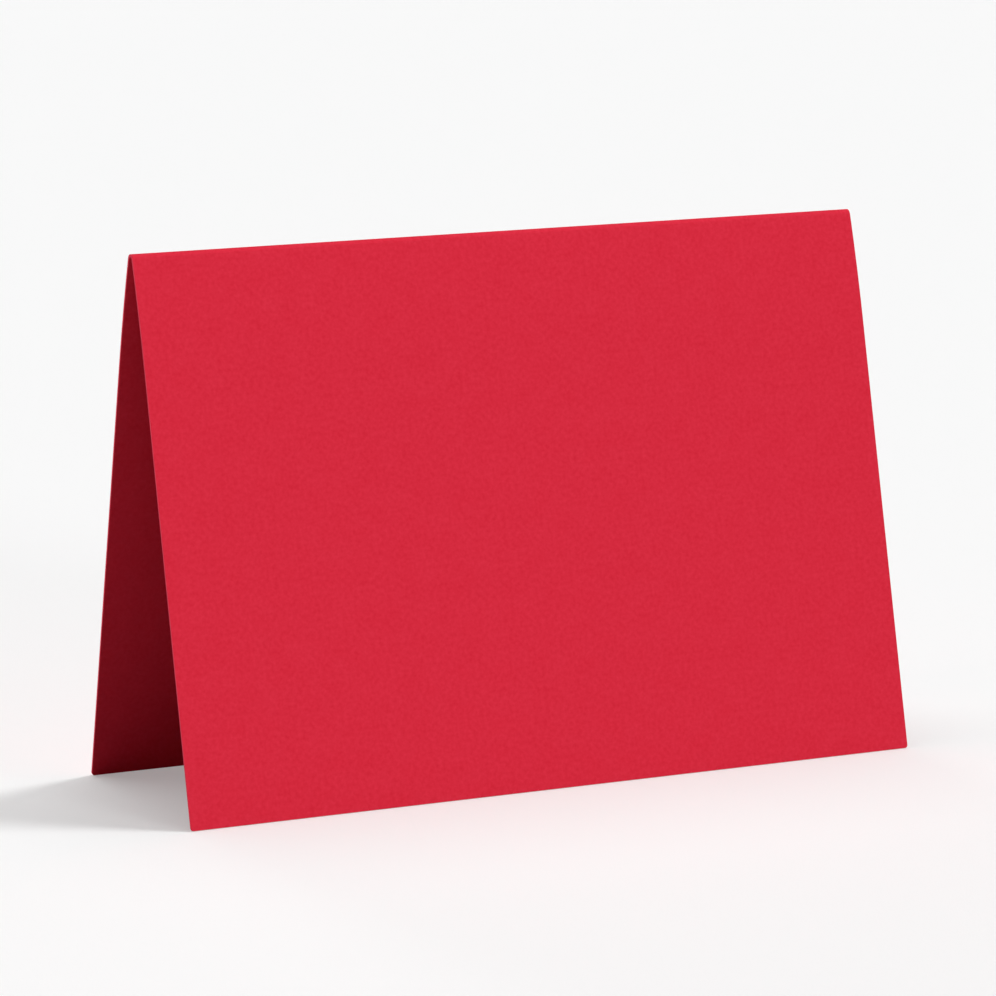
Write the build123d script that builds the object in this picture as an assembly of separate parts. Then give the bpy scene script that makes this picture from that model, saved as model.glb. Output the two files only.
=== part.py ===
from build123d import *
import math
import os

# Place card: one sheet of card, folded across its middle so that it stands as a tent.
# Millimetres. +X runs along the fold, the front panel faces -Y and +Z is up.
# The origin is the middle of the footprint, on the table that the card stands on.

# The blank, before it is folded: a small standard sheet
SHEET_WIDTH = 105.0
SHEET_LENGTH = 148.0
CARD_THICKNESS = 0.35
CORNER_RADIUS = 0.4

# The fold: the card bends round this radius on the inside of the crease
FOLD_INNER_RADIUS = 0.5

# Each panel springs back a little after creasing, so it is bowed below the fold and straight further down
BOW_LENGTH = 15.0

# How far each panel leans from the vertical, in degrees
FOLD_LEAN_ANGLE = 17.0
FOOT_LEAN_ANGLE = 12.9

# The middle of the card's thickness keeps its length when the card is bent
neutral_offset = CARD_THICKNESS / 2
panel_length = SHEET_LENGTH / 2
fold_turn = 90 - FOLD_LEAN_ANGLE
bow_turn = FOLD_LEAN_ANGLE - FOOT_LEAN_ANGLE
fold_neutral_radius = FOLD_INNER_RADIUS + neutral_offset
bow_neutral_radius = BOW_LENGTH / math.radians(bow_turn)
straight_length = panel_length - BOW_LENGTH - fold_neutral_radius * math.radians(fold_turn)


def panel_line(outwards):
    """Section of the front panel from crest to foot, this far outside the neutral line."""
    fold = JernArc((0, outwards), (-1, 0), fold_neutral_radius + outwards, fold_turn)
    bow = JernArc(fold @ 1, fold % 1, bow_neutral_radius + outwards, bow_turn)
    straight = Line(bow @ 1, bow @ 1 + (bow % 1) * straight_length)
    return [fold, bow, straight]


def folded_section():
    """The card's section across the fold: two like panels that meet at the crest."""
    outer = panel_line(neutral_offset)
    inner = panel_line(-neutral_offset)
    crest_cut = Line(outer[0] @ 0, inner[0] @ 0)
    foot_cut = Line(outer[-1] @ 1, inner[-1] @ 1)
    front_half = make_face([*outer, foot_cut, *inner, crest_cut])
    section = front_half + mirror(front_half, Plane.YZ)
    # The ends are cut square to the card, so it stands on its two inner arrises
    return Pos(0, -(inner[-1] @ 1).Y) * section


def place_card():
    """The folded sheet, with its four corners as the cutter leaves them."""
    card = extrude(Plane.YZ * folded_section(), SHEET_WIDTH / 2, both=True)
    # The shortest straight edges are the four that run through the thickness at the corners
    corners = card.edges().filter_by(GeomType.LINE).sort_by(SortBy.LENGTH)[:4]
    return fillet(corners, CORNER_RADIUS)


card = place_card()
card.label = "card"

size = card.bounding_box().size
print(f"card {size.X:.2f} x {size.Y:.2f} x {size.Z:.2f} mm, volume {card.volume:.1f} mm3")

os.makedirs("parts", exist_ok=True)
export_step(card, "parts/card.step")
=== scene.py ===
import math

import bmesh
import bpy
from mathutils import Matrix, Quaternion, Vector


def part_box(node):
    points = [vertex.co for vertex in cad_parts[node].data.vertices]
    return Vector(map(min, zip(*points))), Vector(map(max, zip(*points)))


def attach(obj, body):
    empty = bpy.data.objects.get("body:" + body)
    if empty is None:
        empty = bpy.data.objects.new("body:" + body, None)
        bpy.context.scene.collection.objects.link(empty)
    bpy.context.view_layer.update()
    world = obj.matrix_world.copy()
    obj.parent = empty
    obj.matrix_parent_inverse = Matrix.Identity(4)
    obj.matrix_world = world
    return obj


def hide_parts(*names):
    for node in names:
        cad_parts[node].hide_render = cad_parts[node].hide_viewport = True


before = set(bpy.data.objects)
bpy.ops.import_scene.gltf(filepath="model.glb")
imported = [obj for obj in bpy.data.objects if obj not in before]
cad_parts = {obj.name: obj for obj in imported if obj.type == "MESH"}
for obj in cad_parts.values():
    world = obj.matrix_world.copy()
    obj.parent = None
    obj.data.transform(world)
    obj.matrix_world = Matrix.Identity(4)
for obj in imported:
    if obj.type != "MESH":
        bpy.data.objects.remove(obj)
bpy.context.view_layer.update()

# %% [markdown]
# # A red place card, from flat sheet to standing tent
#
# The object is one sheet of dyed, uncoated card. It was cut square on a guillotine, creased across
# its middle and stood on the two edges that run along with the crease. There is nothing to assemble,
# so all of the work goes into three things: the true section of the fold, the surface of the paper,
# and plain light that shows both.
#
# The card that is seen is made below as a fresh mesh, at the same place, because a mesh of our own
# can carry a map of the flat sheet, finer rows at the crease and a separate finish on the cut edge.

MM = 0.001
card_low, card_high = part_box("card")
card_size = card_high - card_low
print("solid card, mm:", [round(side / MM, 2) for side in card_size])

# %% [markdown]
# ## The sizes of the sheet
#
# The blank is a standard sheet, 105 x 148 mm, of 300 g/m2 card. Its width along the fold is read
# from the solid, so the two always agree. The length of the blank can't be read from a folded card,
# so it is given here, with the thickness, the cut corners and the shape of the fold.
#
# The lean is the angle between a panel and the upright. It is larger just below the fold than at the
# foot, because stiff card springs back a little: the panel bows over its first 15 mm and is straight
# from there on.

# %% Sheet sizes
SHEET_LENGTH = 148 * MM
CARD_THICKNESS = 0.35 * MM
CORNER_RADIUS = 0.4 * MM
FOLD_INNER_RADIUS = 0.5 * MM
BOW_LENGTH = 15 * MM
FOLD_LEAN = math.radians(17.0)
FOOT_LEAN = math.radians(12.9)

sheet_width = card_size.x
panel_length = SHEET_LENGTH / 2
upright = math.radians(90)
fold_radius = FOLD_INNER_RADIUS + CARD_THICKNESS / 2
fold_end = fold_radius * (upright - FOLD_LEAN)
bow_end = fold_end + BOW_LENGTH
print("the fold takes", round(2 * fold_end / MM, 3), "mm of the sheet")

# %% [markdown]
# ## The blank
#
# A card starts as a flat rectangle. In Blender that is a plane, scaled to the sheet's size. Its
# scale is applied at once, so that every later operator works in real metres.
#
# The plane comes with a UV map that covers it exactly. It gets a name of its own and is kept through
# all the steps that follow, so each point of the folded card still knows its place on the flat sheet.
# The paper's pattern is drawn there, and runs round the fold without a seam, as real fibres do.
#
# A guillotine leaves the corners very slightly soft. A vertex bevel rounds them by 0.4 mm.

# %% Cut the blank
SHEET_MAP = "flat_sheet"
CORNER_STEPS = 6

bpy.ops.object.select_all(action="DESELECT")
bpy.ops.mesh.primitive_plane_add(size=1)
card = bpy.context.object
card.name = "folded_card"
card.data.uv_layers.active.name = SHEET_MAP
card.scale = (sheet_width, SHEET_LENGTH, 1)
bpy.ops.object.transform_apply(location=False, rotation=False, scale=True)

bpy.ops.object.mode_set(mode="EDIT")
bpy.ops.mesh.select_all(action="SELECT")
bpy.ops.mesh.bevel(offset=CORNER_RADIUS, segments=CORNER_STEPS, affect="VERTICES")
bpy.ops.object.mode_set(mode="OBJECT")
print("outline of the blank:", len(card.data.vertices), "points")

# %% [markdown]
# ## Rows and columns
#
# A mesh bends only where it has edges. Bisect cuts the sheet along straight lines: close rows over
# the crease, wider rows over the stretch that is gently bowed, and even wider ones down to the foot.
# Columns keep the large faces near square, which makes smooth shading behave.

# %% Score the sheet with rows and columns
FOLD_ROWS = 12
BOW_ROWS = 16
FOOT_ROWS = 28
COLUMNS = 50


def even_steps(start, end, count):
    """Evenly spaced values from start to end, without the start itself."""
    return [start + (end - start) * (i + 1) / count for i in range(count)]


def score(place, across):
    """Cuts the whole sheet along one straight line, at this place and square to this direction."""
    bpy.ops.mesh.select_all(action="SELECT")
    bpy.ops.mesh.bisect(plane_co=place, plane_no=across)


fold_rows = even_steps(0, fold_end, FOLD_ROWS)
bow_rows = even_steps(fold_end, bow_end, BOW_ROWS)
foot_rows = even_steps(bow_end, panel_length, FOOT_ROWS)[:-1]
bend_rows = [0.0, *fold_rows, *bow_rows]
side_rows = bend_rows[1:] + foot_rows

bpy.ops.object.mode_set(mode="EDIT")
for distance in [0.0, *side_rows, *[-row for row in side_rows]]:
    score(Vector((0, distance, 0)), Vector((0, 1, 0)))
for along in even_steps(-sheet_width / 2, sheet_width / 2, COLUMNS)[:-1]:
    score(Vector((along, 0, 0)), Vector((1, 0, 0)))
bpy.ops.object.mode_set(mode="OBJECT")
print("scored sheet:", len(card.data.vertices), "points,", len(card.data.polygons), "faces")

# %% [markdown]
# ## Folding
#
# The sheet is bent one row at a time, from the outside in. At each row, everything beyond it turns
# by a small angle about that row. The stretch inside is still flat, so each row is turned where it
# was drawn, and the length of the sheet never changes, as with real paper.
#
# How far the panel has turned at each distance from the crease is a short function: quickly over
# the crease itself, then slowly over the bow that the springy card keeps, and not at all further
# down. A row turns by the difference between the middles of the two strips beside it, which puts
# the rows on the true arcs.

# %% Fold it
ROW_TOLERANCE = 0.0001 * MM


def turn_at(distance):
    """Angle between the flat sheet and the panel, this far from the crease."""
    fold_part = min(distance / fold_end, 1) * (upright - FOLD_LEAN)
    bow_part = max(0, min((distance - fold_end) / BOW_LENGTH, 1)) * (FOLD_LEAN - FOOT_LEAN)
    return fold_part + bow_part


def select_beyond(row, side):
    """Selects every point of the sheet that lies past this row, on the side given as 1 or -1."""
    bpy.ops.mesh.select_all(action="DESELECT")
    mesh = bmesh.from_edit_mesh(card.data)
    for point in mesh.verts:
        point.select = point.co.y * side > row + ROW_TOLERANCE
    mesh.select_flush_mode()
    bmesh.update_edit_mesh(card.data)


strip_middles = [(a + b) / 2 for a, b in zip(bend_rows, bend_rows[1:] + foot_rows[:1])]
turns = [
    turn_at(outer) - turn_at(inner)
    for inner, outer in zip([0.0] + strip_middles, strip_middles)
]

bpy.ops.object.mode_set(mode="EDIT")
for side in (1, -1):
    for row, turn in reversed(list(zip(bend_rows, turns))):
        select_beyond(row, side)
        bpy.ops.transform.rotate(
            value=side * turn,
            orient_axis="X",
            center_override=(0, side * row, 0),
        )
bpy.ops.object.mode_set(mode="OBJECT")
heights = [point.co.z for point in card.data.vertices]
print("folded sheet, mm:", round(min(heights) / MM, 3), "to", round(max(heights) / MM, 3))

# %% [markdown]
# ## Thickness and edges
#
# So far the sheet is a surface without thickness, drawn at the middle of the card. Solidify adds
# half the thickness on each side. Its rim, the band of new faces round the border, gets the second
# material slot, because the cut edge of paper looks different from its face.
#
# A blade leaves no perfectly sharp edge, and a tiny bevel along the rim gives the light something to
# catch. Weighted normals then keep the large faces flat, so the bevel alone is shaded round.

# %% Give it thickness
EDGE_SOFTNESS = 0.03 * MM
EDGE_STEPS = 2
SHARP_ANGLE = math.radians(55)


def apply_modifier(kind, **settings):
    """Adds a modifier to the card, sets it and applies it."""
    bpy.ops.object.modifier_add(type=kind)
    modifier = card.modifiers[-1]
    for name, value in settings.items():
        setattr(modifier, name, value)
    bpy.ops.object.modifier_apply(modifier=modifier.name)


for name in ("dyed_uncoated_card", "guillotined_card_edge"):
    card.data.materials.append(bpy.data.materials.new(name))
apply_modifier(
    "SOLIDIFY",
    thickness=CARD_THICKNESS,
    offset=0,
    use_even_offset=True,
    material_offset_rim=1,
)
apply_modifier(
    "BEVEL",
    width=EDGE_SOFTNESS,
    segments=EDGE_STEPS,
    limit_method="ANGLE",
    angle_limit=SHARP_ANGLE,
)
bpy.ops.object.shade_smooth_by_angle(angle=SHARP_ANGLE)
apply_modifier("WEIGHTED_NORMAL", keep_sharp=True)
print("card with its thickness:", len(card.data.polygons), "faces")

# %% [markdown]
# ## Stand it up
#
# The card was folded with its crease at the origin, so its panels hang below. It is now lifted until
# its lowest points are on the table. The move goes into the mesh, so the object itself stays at the
# origin.

# %% Stand the card on the table
card.location.z = -min(point.co.z for point in card.data.vertices)
bpy.ops.object.transform_apply(location=True, rotation=False, scale=False)
print("standing card, mm:", [round(side / MM, 2) for side in card.dimensions])

# %% [markdown]
# ## Colours and nodes
#
# Colours are written as the sRGB hex values that a paint program shows, and one function turns them
# into the linear values that a renderer works with. One more function adds a node, sets its fields,
# and fills each input with a value or with a link.
#
# A socket is called by its name. Two kinds of node use one name for several sockets, so there it is
# called by its place in the list: Math, where places 0, 1 and 2 are the terms of the sum, and Mix,
# which has a pair of inputs for numbers and another for colours.

# %% Helpers for materials
NUMBER_A, NUMBER_B = 2, 3
COLOUR_A, COLOUR_B = 6, 7
COLOUR_RESULT = 2


def srgb(hex_code):
    """Linear RGBA of an sRGB colour such as 808080, by the formula of the sRGB standard."""
    shares = [int(hex_code[i : i + 2], 16) / 255 for i in (0, 2, 4)]
    return (*[s / 12.92 if s <= 0.04045 else ((s + 0.055) / 1.055) ** 2.4 for s in shares], 1)


def add_node(tree, kind, inputs=None, **fields):
    """Adds a node with its fields set and each input filled with a value or linked to a socket."""
    new = tree.nodes.new("ShaderNode" + kind)
    for name, value in fields.items():
        setattr(new, name, value)
    for name, value in (inputs or {}).items():
        if isinstance(value, bpy.types.NodeSocket):
            tree.links.new(value, new.inputs[name])
        else:
            new.inputs[name].default_value = value
    return new


def start_material(material):
    """Empties a material's node tree and gives back the tree and its surface shader."""
    material.use_nodes = True
    tree = material.node_tree
    tree.nodes.clear()
    shader = add_node(tree, "BsdfPrincipled")
    add_node(tree, "OutputMaterial", {"Surface": shader.outputs["BSDF"]})
    return tree, shader


print("the grey 808080 in linear light:", round(srgb("808080")[0], 3))

# %% [markdown]
# ## Dyed uncoated card
#
# This card is coloured in the pulp, so the dye goes right through, and its surface is bare fibre
# with no coating. That gives the eye three things: an even, matt colour, a soft cloudiness a few
# millimetres across, which papermakers call formation, and a fine felt-like grain of fibres.
#
# The patterns are drawn on the flat sheet, in metres, from the UV map, with the middle of the sheet
# at zero.

# %% The flat sheet's own coordinates
tree, shader = start_material(bpy.data.materials["dyed_uncoated_card"])
flat_map = add_node(tree, "UVMap", uv_map=SHEET_MAP)
on_sheet = add_node(
    tree,
    "Mapping",
    {
        "Vector": flat_map.outputs["UV"],
        "Location": (-sheet_width / 2, -SHEET_LENGTH / 2, 0),
        "Scale": (sheet_width, SHEET_LENGTH, 1),
    },
)
pattern_size = on_sheet.inputs["Scale"].default_value[:2]
print("pattern covers, mm:", [round(side / MM, 1) for side in pattern_size])

# %% [markdown]
# A real fibre is about 0.03 mm wide. Here the grain is 0.6 mm and a fibre 0.3 mm, because anything
# much finer would vanish between pixels.
#
# Three noise patterns do it. The formation is broad and soft. Felt marks are much of a size, so the
# grain has little detail finer than itself. The fibres are a noise that is drawn out along the fold,
# and made to wander a little, so that they don't line up like a weave.

# %% Paper patterns
FORMATION_SIZE = 3 * MM
FORMATION_DETAIL = 3
FORMATION_ROUGHNESS = 0.6
GRAIN_SIZE = 0.6 * MM
GRAIN_DETAIL = 1
GRAIN_ROUGHNESS = 0.7
FIBRE_WIDTH = 0.3 * MM
FIBRE_LENGTH = 1.5 * MM
FIBRE_WANDER = 0.8

formation = add_node(
    tree,
    "TexNoise",
    {
        "Vector": on_sheet.outputs["Vector"],
        "Scale": 1 / FORMATION_SIZE,
        "Detail": FORMATION_DETAIL,
        "Roughness": FORMATION_ROUGHNESS,
    },
)
grain = add_node(
    tree,
    "TexNoise",
    {
        "Vector": on_sheet.outputs["Vector"],
        "Scale": 1 / GRAIN_SIZE,
        "Detail": GRAIN_DETAIL,
        "Roughness": GRAIN_ROUGHNESS,
    },
)
drawn_out = add_node(
    tree,
    "Mapping",
    {"Vector": on_sheet.outputs["Vector"], "Scale": (1 / FIBRE_LENGTH, 1 / FIBRE_WIDTH, 1)},
)
fibres = add_node(
    tree,
    "TexNoise",
    {"Vector": drawn_out.outputs["Vector"], "Scale": 1, "Distortion": FIBRE_WANDER},
)
print("grain", GRAIN_SIZE / MM, "mm, fibres", FIBRE_WIDTH / MM, "by", FIBRE_LENGTH / MM, "mm")

# %% [markdown]
# The formation and the grain together say where the sheet is a shade darker or paler. The fibres and
# the grain together are its relief, a few thousandths of a millimetre deep. Bare fibre is rough and
# has hardly any gloss. Its index of refraction is that of cellulose.

# %% Paper colour and relief
PAPER_DARK = "CF2136"
PAPER_PALE = "D72D42"
GRAIN_SHARE = 0.7
CLOUD_LOW, CLOUD_HIGH = 0.3, 0.7
FIBRE_SHARE = 0.6
RELIEF_DEPTH = 0.005 * MM
CELLULOSE_IOR = 1.5
PAPER_ROUGHNESS = 0.9
PAPER_GLOSS = 0.1

cloudiness = add_node(
    tree,
    "Mix",
    {"Factor": GRAIN_SHARE, NUMBER_A: formation.outputs["Fac"], NUMBER_B: grain.outputs["Fac"]},
)
pale_share = add_node(
    tree,
    "MapRange",
    {"Value": cloudiness.outputs["Result"], "From Min": CLOUD_LOW, "From Max": CLOUD_HIGH},
)
paper_colour = add_node(
    tree,
    "Mix",
    {
        "Factor": pale_share.outputs["Result"],
        COLOUR_A: srgb(PAPER_DARK),
        COLOUR_B: srgb(PAPER_PALE),
    },
    data_type="RGBA",
)
relief = add_node(
    tree,
    "Math",
    {0: fibres.outputs["Fac"], 1: FIBRE_SHARE, 2: grain.outputs["Fac"]},
    operation="MULTIPLY_ADD",
)
bump = add_node(tree, "Bump", {"Height": relief.outputs["Value"], "Distance": RELIEF_DEPTH})
tree.links.new(paper_colour.outputs[COLOUR_RESULT], shader.inputs["Base Color"])
tree.links.new(bump.outputs["Normal"], shader.inputs["Normal"])
shader.inputs["Roughness"].default_value = PAPER_ROUGHNESS
shader.inputs["IOR"].default_value = CELLULOSE_IOR
shader.inputs["Specular IOR Level"].default_value = PAPER_GLOSS
print("paper nodes:", len(tree.nodes))

# %% [markdown]
# ## The cut edge
#
# Where the guillotine went through, the eye looks at the ends of fibres. The colour is the same dye,
# a shade lighter because the blade tore the fibres open, and the surface is rougher than the face.
# The torn ends are drawn 0.12 mm across, a few times as coarse as they are, so that they show. Their
# pattern uses object coordinates, because the rim has no width of its own on the flat map.

# %% Cut edge
EDGE_DARK = "D4364B"
EDGE_PALE = "E0455A"
TORN_FIBRE_SIZE = 0.12 * MM
TORN_FIBRE_DETAIL = 3
TORN_FIBRE_ROUGHNESS = 0.6
TORN_FIBRE_DEPTH = 0.02 * MM
EDGE_ROUGHNESS = 0.95
EDGE_GLOSS = 0.1

tree, shader = start_material(bpy.data.materials["guillotined_card_edge"])
on_card = add_node(tree, "TexCoord")
fibre_ends = add_node(
    tree,
    "TexNoise",
    {
        "Vector": on_card.outputs["Object"],
        "Scale": 1 / TORN_FIBRE_SIZE,
        "Detail": TORN_FIBRE_DETAIL,
        "Roughness": TORN_FIBRE_ROUGHNESS,
    },
)
edge_colour = add_node(
    tree,
    "Mix",
    {
        "Factor": fibre_ends.outputs["Fac"],
        COLOUR_A: srgb(EDGE_DARK),
        COLOUR_B: srgb(EDGE_PALE),
    },
    data_type="RGBA",
)
edge_bump = add_node(
    tree,
    "Bump",
    {"Height": fibre_ends.outputs["Fac"], "Distance": TORN_FIBRE_DEPTH},
)
tree.links.new(edge_colour.outputs[COLOUR_RESULT], shader.inputs["Base Color"])
tree.links.new(edge_bump.outputs["Normal"], shader.inputs["Normal"])
shader.inputs["Roughness"].default_value = EDGE_ROUGHNESS
shader.inputs["IOR"].default_value = CELLULOSE_IOR
shader.inputs["Specular IOR Level"].default_value = EDGE_GLOSS
print("edge nodes:", len(tree.nodes))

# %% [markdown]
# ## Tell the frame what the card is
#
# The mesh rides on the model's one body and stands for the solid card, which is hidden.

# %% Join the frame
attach(card, "root")
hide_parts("card")
print("card stands for the solid")

# %% [markdown]
# ## The table
#
# A wide matt sheet for the card to stand on, so large that its far edge stays out of the picture.
#
# A pure white table would throw a lot of light back up, into the tent and on to the panels, and the
# red of the card would come back from it as a pink glow. This one is a light grey to the light that
# it reflects, and what the camera sees of it is raised to a pale white by a steady extra amount. The
# amount is the same everywhere, so the card's shadow stays. Light Path says which rays come from the
# camera, straight or by way of a mirror or a glass, and they are the ones that get it.

# %% Floor
FLOOR_SIDE = 12.0
FLOOR_GREY = "D3D3D3"
FLOOR_LIFT = 0.275
FLOOR_ROUGHNESS = 0.95
TOOTH_SIZE = 0.3 * MM
TOOTH_ROUGHNESS = 0.6
TOOTH_DEPTH = 0.03 * MM
WHITE = srgb("FFFFFF")


def seen_rays(tree):
    """Socket that is 1 on the rays that show a thing, straight or by mirror or glass, else 0."""
    rays = add_node(tree, "LightPath")
    total = rays.outputs["Is Camera Ray"]
    for name in ("Is Glossy Ray", "Is Transmission Ray"):
        joined = add_node(tree, "Math", {0: total, 1: rays.outputs[name]}, use_clamp=True)
        total = joined.outputs["Value"]
    return total


bpy.ops.object.select_all(action="DESELECT")
bpy.ops.mesh.primitive_plane_add(size=FLOOR_SIDE)
floor = bpy.context.object
floor.name = "floor"
floor.data.materials.append(bpy.data.materials.new("matt_pale_table"))
tree, shader = start_material(floor.data.materials[0])
on_floor = add_node(tree, "TexCoord")
tooth = add_node(
    tree,
    "TexNoise",
    {
        "Vector": on_floor.outputs["Object"],
        "Scale": 1 / TOOTH_SIZE,
        "Roughness": TOOTH_ROUGHNESS,
    },
)
tooth_bump = add_node(tree, "Bump", {"Height": tooth.outputs["Fac"], "Distance": TOOTH_DEPTH})
lift = add_node(tree, "Math", {0: seen_rays(tree), 1: FLOOR_LIFT}, operation="MULTIPLY")
tree.links.new(lift.outputs["Value"], shader.inputs["Emission Strength"])
tree.links.new(tooth_bump.outputs["Normal"], shader.inputs["Normal"])
shader.inputs["Base Color"].default_value = srgb(FLOOR_GREY)
shader.inputs["Roughness"].default_value = FLOOR_ROUGHNESS
shader.inputs["Specular IOR Level"].default_value = 0
shader.inputs["Emission Color"].default_value = WHITE
print("floor side:", FLOOR_SIDE, "m")

# %% [markdown]
# ## Lamps
#
# Five suns stand for the lamps of a small studio. A sun has no distance, so the light is as even
# over the whole card as that of a large lamp far away, and the width of its disc sets how soft its
# shadow is.
#
# The key stands high at the right, almost in line with the fold. It rakes both panels and throws the
# one shadow that shows, on the left. Three lamps stand almost at the height of the table, in front,
# behind and at the left. They light what is upright, the two panels and the cut edges, and hardly
# reach the table itself, so their own long shadows stay too faint to see. A broad lamp overhead, a
# little behind the card, fills the rest.
#
# Together they light a level surface so that a colour renders about as it is written.

# %% Lamps


def direction(azimuth, elevation):
    """Unit vector from the card, in degrees: azimuth 0 is in front of it, 90 is to its right."""
    turn, rise = math.radians(azimuth), math.radians(elevation)
    return Vector((math.sin(turn) * math.cos(rise), -math.cos(turn) * math.cos(rise), math.sin(rise)))


def add_sun(name, azimuth, elevation, strength, disc):
    """Adds a sun that shines from this direction, its disc's width in degrees."""
    turn = direction(azimuth, elevation).to_track_quat("Z", "Y").to_euler()
    bpy.ops.object.light_add(type="SUN", rotation=turn)
    sun = bpy.context.object
    sun.name = name
    sun.data.energy = strength
    sun.data.angle = math.radians(disc)


add_sun("key_lamp", azimuth=80, elevation=65.4, strength=1.4, disc=11)
add_sun("front_lamp", azimuth=17, elevation=5, strength=1.93, disc=16)
add_sun("back_lamp", azimuth=180, elevation=5, strength=1.42, disc=16)
add_sun("left_lamp", azimuth=-88, elevation=5, strength=1.15, disc=14)
add_sun("top_lamp", azimuth=180, elevation=76, strength=1.45, disc=50)

# %% [markdown]
# ## The surround
#
# The world is even and very dim, and reaches what no lamp does, such as the inside of the tent. What
# the camera sees of it is as bright as the lit floor, so no horizon shows from a low angle.

# %% World
FILL_STRENGTH = 0.05
BACKGROUND_STRENGTH = 0.935

world = bpy.data.worlds.new("pale_surround")
bpy.context.scene.world = world
world.use_nodes = True
tree = world.node_tree
tree.nodes.clear()
strength = add_node(
    tree,
    "MapRange",
    {"Value": seen_rays(tree), "To Min": FILL_STRENGTH, "To Max": BACKGROUND_STRENGTH},
)
sky = add_node(tree, "Background", {"Color": WHITE, "Strength": strength.outputs["Result"]})
add_node(tree, "OutputWorld", {"Surface": sky.outputs["Background"]})
print("world nodes:", len(tree.nodes))

# %% [markdown]
# ## Camera
#
# A long lens, low and from the front left, as for a product picture. The place was found by fitting
# the folded section's outline to the picture, which gives the direction, the distance and the
# lens together, and a slight roll.

# %% Camera
VIEW_AZIMUTH = -25.63
VIEW_ELEVATION = 10.04
VIEW_ROLL = math.radians(-0.289)
VIEW_DISTANCE = 658.8 * MM
LOOK_AT = Vector((-0.629, 0, 36.067)) * MM
FRAME_PIXELS = 996
LENS_PIXELS = 4943
SENSOR_WIDTH = 36

towards_camera = direction(VIEW_AZIMUTH, VIEW_ELEVATION)
aim = towards_camera.to_track_quat("Z", "Y") @ Quaternion((0, 0, 1), VIEW_ROLL)
bpy.ops.object.camera_add(
    location=LOOK_AT + towards_camera * VIEW_DISTANCE,
    rotation=aim.to_euler(),
)
camera = bpy.context.object
camera.name = "camera"
camera.data.sensor_width = SENSOR_WIDTH
camera.data.lens = SENSOR_WIDTH * LENS_PIXELS / FRAME_PIXELS
camera.data.clip_end = FLOOR_SIDE
bpy.context.scene.camera = camera
bpy.context.scene.view_settings.view_transform = "Standard"
print("lens:", round(camera.data.lens, 1), "mm")
